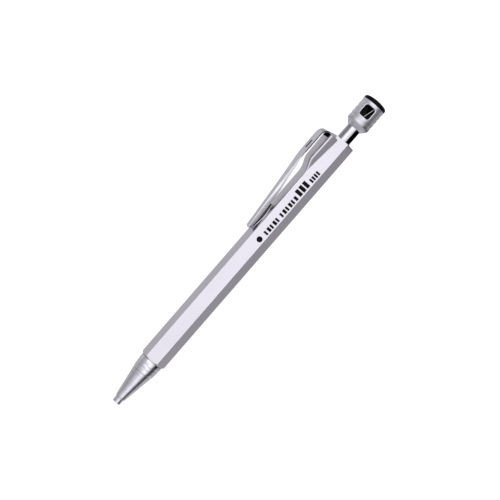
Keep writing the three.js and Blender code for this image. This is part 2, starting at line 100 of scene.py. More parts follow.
class Nodes:
    """A short way to write the node tree of a material, or of a world."""

    def __init__(self, name, world=False):
        self.owner = (bpy.data.worlds if world else bpy.data.materials).new(name)
        self.owner.use_nodes = True
        self.tree = self.owner.node_tree
        self.shader = self.tree.nodes["Background" if world else "Principled BSDF"]

    def add(self, kind, inputs=None, **settings):
        """A new node with these input values or links, and these settings."""
        node = self.tree.nodes.new("ShaderNode" + kind)
        for key, value in settings.items():
            setattr(node, key, value)
        for key, value in (inputs or {}).items():
            self.put(value, node.inputs[key])
        return node

    def put(self, value, socket):
        """Links a socket to another, or gives it a plain value."""
        if isinstance(value, bpy.types.NodeSocket):
            self.tree.links.new(value, socket)
        else:
            socket.default_value = value

    def math(self, operation, a, b=0.0, c=0.0):
        return self.add("Math", {0: a, 1: b, 2: c}, operation=operation).outputs[0]

    def millimetres(self, stretch=(1, 1, 1)):
        """Object coordinates in millimetres, divided by stretch, so a large stretch draws a pattern out."""
        place = self.add("TexCoord").outputs["Object"]
        scale = tuple(1 / MM / s for s in stretch)
        return self.add("VectorMath", {0: place, 1: scale}, operation="MULTIPLY").outputs[0]

    def noise(self, size, stretch=(1, 1, 1), detail=3.0):
        """Noise with blobs of about size millimetres, between 0 and 1."""
        inputs = {"Vector": self.millimetres(stretch), "Scale": 1 / size, "Detail": detail}
        return self.add("TexNoise", inputs).outputs["Fac"]

    def between(self, value, low, high, to_low, to_high):
        """A smooth change from to_low to to_high as value goes from low to high."""
        inputs = {"Value": value, "From Min": low, "From Max": high, "To Min": to_low, "To Max": to_high}
        return self.add("MapRange", inputs, interpolation_type="SMOOTHSTEP").outputs[0]

    def painted_light_mark(self):
        """Where a mesh marks painted light on its faces: 0 outside, 1 on a cut edge that takes a painted
        highlight, -1 inside, where shade is painted.
        """
        return self.add("Attribute", attribute_name="painted_light_mark").outputs["Fac"]

    def mixed(self, factor, first, second):
        """One colour over another, each a socket or three numbers."""
        node = self.add("Mix", data_type="RGBA")
        for socket, value in ((6, first), (7, second)):
            self.put((*value, 1) if isinstance(value, tuple) else value, node.inputs[socket])
        self.put(factor, node.inputs[0])
        return node.outputs[2]

    def bump(self, height, depth, under=None):
        """Bump of depth millimetres for a height between 0 and 1, over the bump under it."""
        inputs = {"Height": height, "Distance": depth * MM}
        if under is not None:
            inputs["Normal"] = under
        return self.add("Bump", inputs).outputs[0]

    def set(self, **values):
        """Sets or links the shader's inputs, and gives the material or world."""
        for key, value in values.items():
            self.put(value, self.shader.inputs[key.replace("_", " ")])
        return self.owner


def distance_from_axis(n):
    """How far a point is from the pencil's axis, in millimetres."""
    place = n.add("VectorMath", {0: n.millimetres(), 1: (0, 0, -AXIS_Z / MM)}, operation="ADD").outputs[0]
    across = n.add("VectorMath", {0: place, 1: (0, 1, 1)}, operation="MULTIPLY").outputs[0]
    return n.add("VectorMath", {0: across}, operation="LENGTH").outputs["Value"]


def satin_aluminium(name, ridge_wear):
    """Drawn bar, blasted and anodised: a fine grain, faint draw lines and, where asked, brighter ridges."""
    n = Nodes(name)
    grain = n.noise(0.09, detail=2.0)
    draw_lines = n.noise(0.16, stretch=(60, 1, 1), detail=4.0)
    cloud = n.noise(9.0)
    mottle = n.math("MULTIPLY_ADD", cloud, 0.6, n.math("MULTIPLY", draw_lines, 0.4))
    body = n.mixed(n.between(mottle, 0.35, 0.65, 0, 1), (0.690, 0.672, 0.716), (0.715, 0.697, 0.741))
    ridge = n.between(distance_from_axis(n), CORNER_R - 0.2, CORNER_R - 0.04, 0, ridge_wear)
    worn = n.math("MULTIPLY", ridge, n.between(n.noise(1.3), 0.42, 0.62, 0.15, 1))
    colour = n.mixed(n.math("MULTIPLY", worn, 0.55), body, (0.82, 0.81, 0.84))
    satin = n.between(n.math("ADD", grain, n.math("MULTIPLY", draw_lines, 0.5)), 0.5, 1.0, 0.27, 0.36)
    roughness = n.math("MULTIPLY_ADD", worn, -0.1, satin)
    relief = n.bump(draw_lines, 0.002, under=n.bump(grain, 0.003))
    return n.set(Base_Color=colour, Metallic=1.0, Roughness=roughness, Normal=relief)


def turned_metal(name, colour, roughness, pitch, depth, spread=0.06, edge=None):
    """Metal from a lathe: fine rings round the axis, a little uneven, over a faint mottle. edge is a
    brighter colour painted as a highlight on the cut edges marked 1."""
    n = Nodes(name)
    rings = n.noise(pitch, stretch=(1, 400, 400), detail=2.0)
    fine = n.noise(pitch * 3, stretch=(1, 400, 400), detail=1.0)
    cloud = n.noise(2.5)
    smear = n.noise(0.5, stretch=(1, 5, 5))
    light = tuple(min(1, c * 1.08) for c in colour)
    dark = tuple(c * 0.93 for c in colour)
    mixed = n.math("MULTIPLY_ADD", cloud, 0.5, n.math("MULTIPLY", fine, 0.5))
    tinted = n.mixed(n.between(mixed, 0.35, 0.65, 0, 1), dark, light)
    uneven = n.math("MULTIPLY_ADD", smear, 0.6, n.math("MULTIPLY", rings, 0.4))
    rough = n.between(uneven, 0.3, 0.7, roughness - spread, roughness + spread)
    # Painted highlight: cut edges marked 1 take the brighter edge colour and a lower roughness.
    if edge is not None:
        painted_edge_highlight = n.between(n.painted_light_mark(), 0.2, 1, 0, 1)
        tinted = n.mixed(painted_edge_highlight, tinted, edge)
        rough = n.math("MULTIPLY_ADD", painted_edge_highlight, -0.18, rough)
    relief = n.bump(rings, depth)
    return n.set(Base_Color=tinted, Metallic=1.0, Roughness=rough, Normal=relief)


def bright_chrome():
    """Polished plating: nearly a mirror, with faint haze and hairline scratches."""
    n = Nodes("bright_chrome")
    haze = n.noise(3.0)
    hairlines = n.noise(0.05, stretch=(40, 1, 1), detail=1.0)
    scratch = n.between(hairlines, 0.66, 0.74, 0, 1)
    smooth = n.between(haze, 0.3, 0.7, 0.07, 0.12)
    roughness = n.math("MULTIPLY_ADD", scratch, 0.1, smooth)
    tinted = n.mixed(n.between(haze, 0.3, 0.7, 0, 1), (0.70, 0.70, 0.725), (0.75, 0.75, 0.77))
    relief = n.bump(scratch, -0.0003)
    return n.set(Base_Color=tinted, Metallic=1.0, Roughness=roughness, Normal=relief)


def clip_chrome():
    """Pressed and plated sheet: softer than a mirror, with a rolling direction along the clip. Its faces
    marked -1, inside it, in its slot and on its tongue, are painted near black as shade.
    """
    n = Nodes("clip_chrome")
    rolled = n.noise(0.12, stretch=(30, 1, 1), detail=3.0)
    ripple = n.noise(2.2)
    uneven = n.math("MULTIPLY_ADD", rolled, 0.6, n.math("MULTIPLY", ripple, 0.4))
    roughness = n.between(uneven, 0.3, 0.7, 0.13, 0.22)
    plated = n.mixed(n.between(ripple, 0.3, 0.7, 0, 1), (0.76, 0.755, 0.785), (0.82, 0.815, 0.84))
    # Painted shade: faces marked -1 take a near black colour.
    tinted = n.mixed(n.between(n.painted_light_mark(), -1, -0.2, 1, 0), plated, (0.06, 0.06, 0.064))
    relief = n.bump(ripple, 0.01, under=n.bump(rolled, 0.003))
    return n.set(Base_Color=tinted, Metallic=1.0, Roughness=roughness, Normal=relief)


def moulded(name, colour, roughness, grain=0.12, gloss=0.5):
    """Moulded plastic or rubber: a fine moulded grain, uneven gloss and a slight colour drift."""
    n = Nodes(name)
    texture = n.noise(grain, detail=2.0)
    drift = n.noise(4.0)
    dark = tuple(c * 0.85 for c in colour)
    light = tuple(c * 1.2 + 0.001 for c in colour)
    uneven = n.math("MULTIPLY_ADD", texture, 0.5, n.math("MULTIPLY", drift, 0.5))
    rough = n.between(uneven, 0.3, 0.7, roughness * 0.8, roughness * 1.2)
    tinted = n.mixed(n.between(drift, 0.3, 0.7, 0, 1), dark, light)
    relief = n.bump(texture, 0.006)
    return n.set(Base_Color=tinted, Roughness=rough, Normal=relief, Specular_IOR_Level=gloss)


def printed_ink():
    """Pad-printed black ink, slightly uneven in gloss and thickness."""
    n = Nodes("printed_ink")
    speckle = n.noise(0.1, detail=3.0)
    tinted = n.mixed(n.between(speckle, 0.35, 0.7, 0, 1), (0.004, 0.004, 0.005), (0.012, 0.012, 0.014))
    roughness = n.between(speckle, 0.3, 0.7, 0.4, 0.55)
    relief = n.bump(speckle, 0.004)
    return n.set(Base_Color=tinted, Roughness=roughness, Normal=relief, Specular_IOR_Level=0.06)


MATERIALS = {
    "satin_aluminium": satin_aluminium("satin_aluminium", 1.0),
    "saddle_aluminium": satin_aluminium("saddle_aluminium", 0.0),
    "turned_steel": turned_metal("turned_steel", (0.70, 0.69, 0.73), 0.2, 0.05, 0.003),
    "turned_bands": turned_metal("turned_bands", (0.80, 0.795, 0.82), 0.12, 0.05, 0.0015, spread=0.03),
    "bright_chrome": bright_chrome(),
    "clip_chrome": clip_chrome(),
    # satin_silver paints a brighter highlight on the knob window's cut edges.
    "satin_silver": turned_metal(
        "satin_silver", (0.76, 0.75, 0.79), 0.41, 0.07, 0.006, edge=(0.93, 0.93, 0.95)
    ),
    "blade_steel": turned_metal("blade_steel", (0.40, 0.40, 0.41), 0.25, 0.06, 0.002),
    "spring_steel": turned_metal("spring_steel", (0.42, 0.43, 0.45), 0.3, 0.06, 0.003),
    "brass": turned_metal("brass", (0.70, 0.52, 0.26), 0.28, 0.06, 0.003),
    "black_plastic": moulded("black_plastic", (0.002, 0.002, 0.0025), 0.27, gloss=0.08),
    "grey_plastic": moulded("grey_plastic", (0.10, 0.10, 0.11), 0.45),
    "black_rubber": moulded("black_rubber", (0.015, 0.015, 0.015), 0.75, grain=0.2),
    "graphite": moulded("graphite", (0.045, 0.045, 0.05), 0.38, grain=0.08),
    "printed_ink": printed_ink(),
}


# ---------------- mesh tools


def mix(a, b, t):
    return a + (b - a) * t


def share(x, a, b):
    """How far x lies between a and b, held between 0 and 1."""
    return min(1.0, max(0.0, (x - a) / (b - a)))


def smooth(t):
    """Eases a share in and out."""
    return t * t * (3 - 2 * t)


def piece(
    name, verts, faces, material, body, replaces=(), to_frame=TO_FRAME, sharp=SMOOTH_ANGLE, marks=()
):
    """A finished mesh piece: merged, faces out, smooth up to the sharp angle, and riding on its body.
    marks gives each vertex's painted light mark: 0 outside, 1 on a cut edge with a painted highlight, -1
    inside with painted shade."""
    bm = bmesh.new()
    painted_light_mark = bm.verts.layers.float.new("painted_light_mark")
    corners = [bm.verts.new(to_frame @ Vector(v)) for v in verts]
    for corner, mark in zip(corners, marks):
        corner[painted_light_mark] = mark
    for face in faces:
        bm.faces.new([corners[i] for i in face])
    bmesh.ops.remove_doubles(bm, verts=bm.verts, dist=SAME_PLACE)
    bmesh.ops.recalc_face_normals(bm, faces=bm.faces)
    mesh = bpy.data.meshes.new(name)
    bm.to_mesh(mesh)
    bm.free()
    mesh.shade_smooth()
    mesh.set_sharp_from_angle(angle=math.radians(sharp))
    mesh.materials.append(MATERIALS[material])
    obj = bpy.data.objects.new(name, mesh)
    bpy.context.scene.collection.objects.link(obj)
    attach(obj, body)
    if replaces:
        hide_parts(*replaces)
    return obj


def softened(points, radius, closed=False):
    """A polyline with its corners rounded. A point may give its own radius as a third number."""
    most_of_side = 0.45
    count = len(points)
    result = []
    for i, point in enumerate(points):
        corner = Vector(point[:2])
        reach = point[2] if len(point) > 2 else radius
        if not closed and i in (0, count - 1):
            result.append(tuple(corner))
            continue
        before = Vector(points[i - 1][:2]) - corner
        after = Vector(points[(i + 1) % count][:2]) - corner
        start = corner + before.normalized() * min(reach, before.length * most_of_side)
        end = corner + after.normalized() * min(reach, after.length * most_of_side)
        for step in range(CORNER_STEPS + 1):
            t = step / CORNER_STEPS
            result.append(tuple(start * (1 - t) ** 2 + corner * 2 * t * (1 - t) + end * t * t))
    return result


def revolved(profile, closed):
    """Vertices and faces of a profile of (x, radius) turned about the pencil's axis."""
    verts, rings, faces = [], [], []
    for x, r in profile:
        if r < ON_AXIS:
            rings.append([len(verts)] * SEGMENTS)
            verts.append((x, 0, 0))
            continue
        rings.append(list(range(len(verts), len(verts) + SEGMENTS)))
        for i in range(SEGMENTS):
            angle = 2 * math.pi * i / SEGMENTS
            verts.append((x, r * math.cos(angle), r * math.sin(angle)))
    pairs = list(zip(rings, rings[1:]))
    if closed:
        pairs.append((rings[-1], rings[0]))
    for a, b in pairs:
        for i in range(SEGMENTS):
            j = (i + 1) % SEGMENTS
            face = list(dict.fromkeys([a[i], a[j], b[j], b[i]]))
            if len(face) > 2:
                faces.append(face)
    return verts, faces


def turned_piece(name, outer, bore, edge, material, body, replaces=()):
    """A turned piece: outer and bore list (x, radius) from the tip backwards. A solid one has no bore."""
    closed = bool(bore)
    profile = softened([*outer, *reversed(bore)], edge, closed)
    verts, faces = revolved(profile, closed)
    return piece(name, verts, faces, material, body, replaces)


def joined(loops, faces):
    """Quads between each closed loop of vertex numbers and the next."""
    for a, b in zip(loops, loops[1:]):
        for i in range(len(a)):
            j = (i + 1) % len(a)
            faces.append((a[i], a[j], b[j], b[i]))


def round_rect(point, grow, half_length, half_width, corner):
    """A point on a sharp rectangle's outline, in shares of its half sizes, moved to the rounded outline."""
    size = Vector((half_length + grow, half_width + grow))
    radius = corner + grow
    spot = Vector((point[0] * size.x, point[1] * size.y))
    centre = Vector((math.copysign(size.x - radius, spot.x), math.copysign(size.y - radius, spot.y)))
    away = spot - centre
    if abs(spot.x) > abs(centre.x) and abs(spot.y) > abs(centre.y):
        return centre + away.normalized() * radius
    return spot


class Hole:
    """A rounded opening in a sheet. rows and columns are the grid lines round it, place(x, y, depth) gives
    the sheet's point there, and rings list (grow, depth, painted light mark) down the opening's wall."""

    def __init__(self, rows, columns, centre, outline, rings, place):
        self.rows, self.columns, self.centre = rows, columns, centre
        self.outline, self.rings, self.place = outline, rings, place

    def border(self):
        (r0, r1), (c0, c1) = self.rows, self.columns
        return (
            [(r0, c) for c in range(c0, c1)]
            + [(r, c1) for r in range(r0, r1)]
            + [(r1, c) for c in range(c1, c0, -1)]
            + [(r, c0) for r in range(r1, r0, -1)]
        )


def sheet(outer, inner, wrap=False, hole=None, rim=(), undercut=()):
    """A closed sheet between two grids of points, and each point's painted light mark, -1 for painted shade
    on the inner grid. wrap joins its last column to its first. rim lists (push, depth) rings that round its
    outside edge, and undercut says for each row how far that edge falls back towards the inner side."""
    rows, columns = len(outer), len(outer[0])
    verts = [tuple(p) for grid in (outer, inner) for row in grid for p in row]
    # The inner grid is marked -1: painted shade.
    marks = [0.0] * (rows * columns) + [-1.0] * (rows * columns)
    faces = []

    def at(side, i, j):
        return side * rows * columns + i * columns + j % columns

    def inside_hole(i, j):
        if hole is None:
            return False
        return hole.rows[0] <= i < hole.rows[1] and hole.columns[0] <= j < hole.columns[1]

    for side in (0, 1):
        for i in range(rows - 1):
            for j in range(columns if wrap else columns - 1):
                if inside_hole(i, j):
                    continue
                near, far = at(side, i, j), at(side, i + 1, j)
                faces.append((near, far, at(side, i + 1, j + 1), at(side, i, j + 1)))

    if hole is not None:
        border = hole.border()
        size = [(hole.rows[1] - hole.rows[0]) / 2, (hole.columns[1] - hole.columns[0]) / 2]
        middle = [sum(hole.rows) / 2, sum(hole.columns) / 2]
        loops = [[at(0, i, j) for i, j in border]]
        for grow, depth, mark in hole.rings:
            loop = []
            for i, j in border:
                spot = ((i - middle[0]) / size[0], (j - middle[1]) / size[1])
                x, y = round_rect(spot, grow, *hole.outline)
                loop.append(len(verts))
                verts.append(hole.place(hole.centre + x, y, depth))
                marks.append(mark)
            loops.append(loop)
        loops.append([at(1, i, j) for i, j in border])
        joined(loops, faces)

    if wrap:
        for i in (0, rows - 1):
            joined([[at(0, i, j) for j in range(columns)], [at(1, i, j) for j in range(columns)]], faces)
    else:
        edge = (
            [(0, j) for j in range(columns - 1)]
            + [(i, columns - 1) for i in range(rows - 1)]
            + [(rows - 1, j) for j in range(columns - 1, 0, -1)]
            + [(i, 0) for i in range(rows - 1, 0, -1)]
        )
        loops = [[at(0, i, j) for i, j in edge]]
        for push, depth in rim:
            loop = []
            for i, j in edge:
                next_in = outer[min(max(i, 1), rows - 2)][min(max(j, 1), columns - 2)]
                here = Vector(outer[i][j])
                away = (here - Vector(next_in)).normalized() * (push - undercut[i] * depth)
                loop.append(len(verts))
                verts.append(tuple(here.lerp(Vector(inner[i][j]), depth) + away))
                marks.append(0.0)
            loops.append(loop)
        loops.append([at(1, i, j) for i, j in edge])
        joined(loops, faces)
    return verts, faces, marks


def lofted(rings, closed=False):
    """A solid through closed rings of points, with flat ends, or closed with its last ring on its first."""
    count = len(rings[0])
    verts = [tuple(p) for ring in rings for p in ring]
    loops = [list(range(i * count, (i + 1) * count)) for i in range(len(rings))]
    faces = [] if closed else [tuple(loops[0]), tuple(reversed(loops[-1]))]
    joined([*loops, loops[0]] if closed else loops, faces)
    return verts, faces


# ---------------- barrel


def hexagon():
    """The barrel's outline as (y, z): softened ridges, and flats with points enough to stay flat."""
    ridge, flat_steps, support = 0.12, 16, 0.015
    corners = [
        (CORNER_R * math.cos(i * math.pi / 3), CORNER_R * math.sin(i * math.pi / 3)) for i in range(6)
    ]
    soft = softened(corners, ridge, closed=True)
    per_corner = CORNER_STEPS + 1
    outline = []
    for i in range(6):
        outline += soft[i * per_corner:(i + 1) * per_corner]
        last = Vector(soft[(i + 1) * per_corner - 1])
        following = Vector(soft[((i + 1) * per_corner) % len(soft)])
        shares = [support, *(k / flat_steps for k in range(1, flat_steps)), 1 - support]
        outline += [tuple(last.lerp(following, t)) for t in shares]
    return outline


def barrel():
    """The hexagonal tube, with a turned chamfer in front and a small one behind."""
    span = Span("hex_barrel")
    bore = Span("rear_bush").radius + 0.03
    edge, dip, hold, far_hold, length_steps = 0.05, 0.02, 0.03, 0.1, 8
    bore_chamfer = 0.12
    front_r, rear_r = CORNER_R - 0.65, CORNER_R - 0.2
    outline = hexagon()

    def ring(x_of, r_of):
        """The outline with each point's x and radius worked out from its own radius."""
        points = []
        for y, z in outline:
            r = math.hypot(y, z)
            keep = r_of(r) / r
            points.append((x_of(r), y * keep, z * keep))
        return points

    def front_x(r):
        """Where the 45 degree chamfer in front leaves the bar."""
        return span.start + max(r - front_r, edge)

    def front_cone(r):
        """The radius just before that place."""
        return min(r - dip, front_r + front_x(r) - span.start - hold)

    def rear_x(r):
        """Where the chamfer behind leaves the bar."""
        return span.end - max(r - rear_r, edge)

    def along(k):
        """The place of ring k of the even ones between the ends."""
        return mix(span.start, span.end, k / length_steps)

    rings = [
        ring(lambda r: span.start, lambda r: bore),
        ring(lambda r: span.start, lambda r: min(front_r, r - edge)),
        ring(lambda r: front_x(r) - hold, front_cone),
        ring(lambda r: front_x(r) + hold, lambda r: r),
        ring(lambda r: front_x(r) + far_hold, lambda r: r),
        *[ring(lambda r, k=k: along(k), lambda r: r) for k in range(1, length_steps)],
        ring(lambda r: rear_x(r) - far_hold, lambda r: r),
        ring(lambda r: rear_x(r) - hold, lambda r: r),
        ring(lambda r: rear_x(r) + dip, lambda r: r - dip),
        ring(lambda r: span.end, lambda r: min(rear_r, r - edge)),
        ring(lambda r: span.end, lambda r: bore + bore_chamfer),
        ring(lambda r: span.end - bore_chamfer, lambda r: bore),
    ]
    verts, faces = lofted(rings, closed=True)
    satin = "satin_aluminium"
    piece("barrel_tube", verts, faces, satin, "barrel", ["hex_barrel"], sharp=25)


def rounded_bar(x, y, width, height):
    """The outline of an upright bar whose lower left corner is at x, y."""
    corner = min(0.12, width * 0.3)
    corner_steps = 3
    points = []
    for quadrant in range(4):
        middle = math.radians(90 * quadrant + 45)
        cx = x + width / 2 + math.copysign(width / 2 - corner, math.cos(middle))
        cy = y + height / 2 + math.copysign(height / 2 - corner, math.sin(middle))
        for step in range(corner_steps + 1):
            angle = math.radians(90 * (quadrant + step / corner_steps))
            points.append((cx + corner * math.cos(angle), cy + corner * math.sin(angle)))
    return points


def print_marks():
    """A plain pad-printed rule of a dot and bars on the top flat, in place of any wording."""
    lift, base_y = 0.014, -2.0
    dot_x, dot_r, dot_rise, dot_steps = 78.4, 1.1, 1.2, 40
    shapes = [[
        (
            dot_x + dot_r * math.cos(2 * math.pi * i / dot_steps),
            base_y + dot_rise + dot_r * math.sin(2 * math.pi * i / dot_steps),
        )
        for i in range(dot_steps)
    ]]
    # Each group of bars: start, count, pitch, the widths that it goes through in turn, and height.
    for start, count, pitch, widths, height in (
        (81.2, 5, 1.55, (0.82, 1.1), 1.85),
        (89.7, 6, 1.55, (0.82, 1.1), 1.85),
        (99.5, 3, 1.95, (1.42,), 2.9),
        (106.0, 4, 1.2, (0.8,), 1.8),
    ):
        for i in range(count):
            shapes.append(rounded_bar(start + i * pitch, base_y, widths[i % len(widths)], height))
    verts, faces = [], []
    for shape in shapes:
        count, first = len(shape), len(verts)
        verts += [(x, y, APOTHEM - lift) for x, y in shape]
        verts += [(x, y, APOTHEM + lift) for x, y in shape]
        under, over = list(range(first, first + count)), list(range(first + count, first + 2 * count))
        faces.append(tuple(over))
        faces.append(tuple(reversed(under)))
        joined([under, over], faces)
    piece("barrel_print", verts, faces, "printed_ink", "barrel")


# ---------------- front end


def groove(x, r):
    """Points of one turned V groove, which starts at x and radius r."""
    depth, width, rise = 0.16, 0.28, 0.02
    return [(x, r, 0.04), (x + width / 2, r - depth, 0.02), (x + width, r + rise, 0.04)]


def nose():
    """The satin cone and, behind its first groove, three brighter rings up to the barrel."""
    span = Span("nose_cone")
    split, split_r = 14.45, 3.75
    chuck_r, sleeve_r, thread_r = 2.72, 3.05, 3.42
    cone = [
        (span.start, 1.84, 0.05),
        (span.start + 0.2, 2.02, 0.15),
        (14.27, 3.91, 0.04),
        (split, split_r, 0.02),
    ]
    cone_bore = [
        (span.start, 1.68), (5.95, 1.68), (5.95, 2.06), (9.2, 2.06), (9.2, chuck_r), (split, chuck_r),
    ]
    steel = "turned_steel"
    turned_piece("nose_taper", cone, cone_bore, 0.03, steel, "barrel", ["nose_cone"])
    shoulder = (BARREL_LOW.x - TIP_X) / MM - 0.13
    rings = [
        (split, split_r, 0.02),
        (split + 0.17, 4.05, 0.06),
        (15.0, 4.16, 0.4),
        *groove(16.15, 4.27),
        *groove(17.6, 4.36),
        (shoulder, 4.46, 0.05),
        (shoulder, thread_r),
        (span.end, thread_r, 0.2),
    ]
    rings_bore = [(split, chuck_r), (14.9, chuck_r), (14.9, sleeve_r), (span.end, sleeve_r)]
    turned_piece("nose_rings", rings, rings_bore, 0.03, "turned_bands", "barrel")


def tip_sleeve():
    """The bright tube at the tip, with the collar that holds it in the cone."""
    span = Span("tip_sleeve")
    tube_r, collar_x, collar_r = 1.65, 6, 2.02
    bore_r = Span("lead").radius + 0.08
    outer = [
        (span.start, 1.38, 0.08),
        (span.start + 0.1, tube_r, 0.12),
        (collar_x, tube_r),
        (collar_x, collar_r),
        (span.end, collar_r),
    ]
    bore = [(span.start, bore_r + 0.06, 0.05), (span.start + 0.12, bore_r, 0.04), (span.end, bore_r)]
    chrome = "bright_chrome"
    turned_piece("tip_tube", outer, bore, 0.03, chrome, "barrel", ["tip_sleeve"])


def lead():
    """The stick of lead, with its front edge worn off."""
    span = Span("lead")
    outer = [
        (span.start, 0),
        (span.start, 0.55, 0.1),
        (span.start + 0.25, span.radius, 0.1),
        (span.end, span.radius),
        (span.end, 0),
    ]
    turned_piece("lead_stick", outer, [], 0.05, "graphite", "lead", ["lead"])


# ---------------- button


def stem():
    """The bright tube under the button: its bore wide in front for the lead tube, its rear end flared."""
    span = Span("button_stem")
    socket_r, socket_end, bore_r = 1.93, 116.1, 1.3
    outer = [(span.start, span.radius), (span.end - 0.15, span.radius, 0.1), (span.end, 2.45, 0.05)]
    bore = [
        (span.start, socket_r),
        (socket_end, socket_r),
        (socket_end, bore_r),
        (131, bore_r, 0.5),
        (span.end, 2.1, 0.05),
    ]
    chrome = "bright_chrome"
    turned_piece("stem_tube", outer, bore, 0.05, chrome, "plunger", ["button_stem"])


def rear_bush():
    """The plastic ring that guides the stem."""
    span = Span("rear_bush")
    hole = Span("button_stem").radius + 0.05
    outer = [(span.start, span.radius), (span.end, span.radius, 0.12)]
    bore = [(span.start, hole), (span.end, hole, 0.15)]
    turned_piece("stem_guide", outer, bore, 0.05, "grey_plastic", "barrel", ["rear_bush"])


def radius_along(profile):
    """The profile's radius at any x, for a profile whose x only grows."""

    def radius(x):
        for (x0, r0), (x1, r1) in zip(profile, profile[1:]):
            if x <= x1:
                length = max(x1 - x0, 1e-9)  # a step in the profile has none
                return r0 + (r1 - r0) * (x - x0) / length
        return profile[-1][1]

    return radius


def knob():
    """The silver button: a flare, a smooth ring, four shallow grooves and the window in its top."""
    span = Span("knob_shell")
    full = span.radius
    bore_r = Span("knob_bush").radius + 0.03
    first_groove, groove_pitch, groove_depth = 134.6, 1.85, 0.17
    profile = [(span.start, 2.94), (span.start + 0.04, 3.0), (132.9, 4.54, 0.25), (133.2, full, 0.1)]
    for i in range(4):
        x = first_groove + i * groove_pitch
        profile += [(x - 0.3, full, 0.2), (x + 0.25, full - groove_depth, 0.15), (x + 0.8, full, 0.2)]
    profile += [(span.end - 0.1, full, 0.05), (span.end, full - 0.08)]
    outer_r = radius_along(softened(profile, 0.05))
    inner_r = radius_along([(span.start, 2.75), (132.4, 2.75), (133.3, bore_r), (span.end, bore_r)])

    half_length, half_width, corner = 2.27, 2.05, 0.85
    centre, margin = 138.25, 0.42
    row_edges = (centre - half_length - margin, centre + half_length + margin)
    turn_edge = math.asin((half_width + margin) / full)
    fine, coarse = 0.11, 0.3
    window_turn, plain_turn = 0.06, 0.065

    def steps(a, b, size):
        """Even steps of about size from a up to but not including b."""
        count = max(1, round((b - a) / size))
        return [a + (b - a) * k / count for k in range(count)]

    xs = [
        *steps(span.start, row_edges[0], fine),
        *steps(*row_edges, coarse),
        *steps(row_edges[1], span.end, fine),
        span.end,
    ]
    rows = (xs.index(row_edges[0]), xs.index(row_edges[1]))
    turns = [
        *steps(-turn_edge, turn_edge, window_turn),
        *steps(turn_edge, 2 * math.pi - turn_edge, plain_turn),
    ]
    columns = (0, turns.index(turn_edge))

    def grid(radius):
        """Rows of points round the axis, all along the button."""
        return [[(x, radius(x) * math.sin(t), radius(x) * math.cos(t)) for t in turns] for x in xs]

    def place(x, y, depth):
        """The shell's point over x and y, at a share of its thickness."""
        r = outer_r(x) + (inner_r(x) - outer_r(x)) * depth
        return (x, y, math.sqrt(r * r - y * y))

    # Rings marked 1 get a painted highlight on the window's cut edge, the ring marked 0.5 half of it; the
    # inside is marked -1.
    rings = [(0.3, 0, 0), (0.25, 0.01, 1), (0.13, 0.1, 1), (0.04, 0.24, 1), (0, 0.34, 0.5), (0, 1, -1)]
    hole = Hole(rows, columns, centre, (half_length, half_width, corner), rings, place)
    verts, faces, marks = sheet(grid(outer_r), grid(inner_r), wrap=True, hole=hole)
    piece("knob_case", verts, faces, "satin_silver", "knob", ["knob_shell"], marks=marks)


def cut_away(target, cutters, to_frame=TO_FRAME):
    """Cuts each closed mesh in cutters out of a piece. The cut faces come out black plastic: the
    sharpener's own black, and in the saddle's notch a painted shade.
    """
    black = "black_plastic"
    for i, (verts, faces) in enumerate(cutters):
        tool = piece(f"cutter_{i}", verts, faces, black, "knob", to_frame=to_frame)
        modifier = target.modifiers.new("cut", "BOOLEAN")
        modifier.object, modifier.operation, modifier.solver = tool, "DIFFERENCE", "EXACT"
        modifier.material_mode = "TRANSFER"
        with bpy.context.temp_override(object=target, active_object=target):
            bpy.ops.object.modifier_apply(modifier=modifier.name)
        bpy.data.objects.remove(tool)
    target.data.set_sharp_from_angle(angle=math.radians(SMOOTH_ANGLE))


def box_mesh(low, high, turn=0.0, move=(0, 0, 0)):
    """A box in pencil millimetres, turned about Z and then moved."""
    rotation = Matrix.Rotation(turn, 3, "Z")
    verts = [
        tuple(rotation @ Vector((x, y, z)) + Vector(move))
        for x in (low[0], high[0]) for y in (low[1], high[1]) for z in (low[2], high[2])
    ]
    faces = [(0, 1, 3, 2), (4, 6, 7, 5), (0, 4, 5, 1), (2, 3, 7, 6), (0, 2, 6, 4), (1, 5, 7, 3)]
    return verts, faces


CONE_APEX, CONE_MOUTH, CONE_MOUTH_R = 136.5, 140.6, 1.12
BLADE_SLOPE = math.atan2(CONE_MOUTH_R, CONE_MOUTH - CONE_APEX)
BLADE_AT = (CONE_APEX, -0.03, 0)
BLADE_THICK, BLADE_LENGTH, BLADE_HEIGHT = 0.3, 4.6, 2.9
BLADE_FRONT = -0.35


def sharpener():
    """The black insert with its domed end, lead hole, cone and chip pocket."""
    span = Span("sharpener_body")
    barrel_r = Span("knob_bush").radius
    flange = span.radius
    rim_x = Span("knob_shell").end + 0.05
    outer = [
        (span.start, 0),
        (span.start, barrel_r, 0.1),
        (rim_x, barrel_r, 0.03),
        (rim_x, flange, 0.06),
        (rim_x + 0.6, flange, 0.06),
        (rim_x + 0.68, flange - 0.05, 0.05),
        (rim_x + 0.76, flange - 0.01, 0.06),
        (142.95, flange - 0.02, 0.25),
        (143.4, flange - 0.38, 0.3),
        (143.75, flange - 1.5, 0.6),
        (143.97, 1.9, 0.5),
        (span.end, 1.45, 0.15),
        (143.7, CONE_MOUTH_R, 0.1),
        (CONE_MOUTH, CONE_MOUTH_R, 0.2),
        (CONE_APEX, 0),
    ]
    black = "black_plastic"
    insert = turned_piece("sharpener_insert", outer, [], 0.05, black, "knob", ["sharpener_body"])
    pocket = box_mesh((136.2, -2.2, 0.35), (140.8, 2.2, span.radius + 1))
    gap = 0.03
    slot = box_mesh(
        (BLADE_FRONT - gap, -BLADE_THICK - 0.13, -gap),
        (BLADE_LENGTH + gap, gap, BLADE_HEIGHT + gap),
        -BLADE_SLOPE, BLADE_AT,
    )
    cut_away(insert, [pocket, slot])


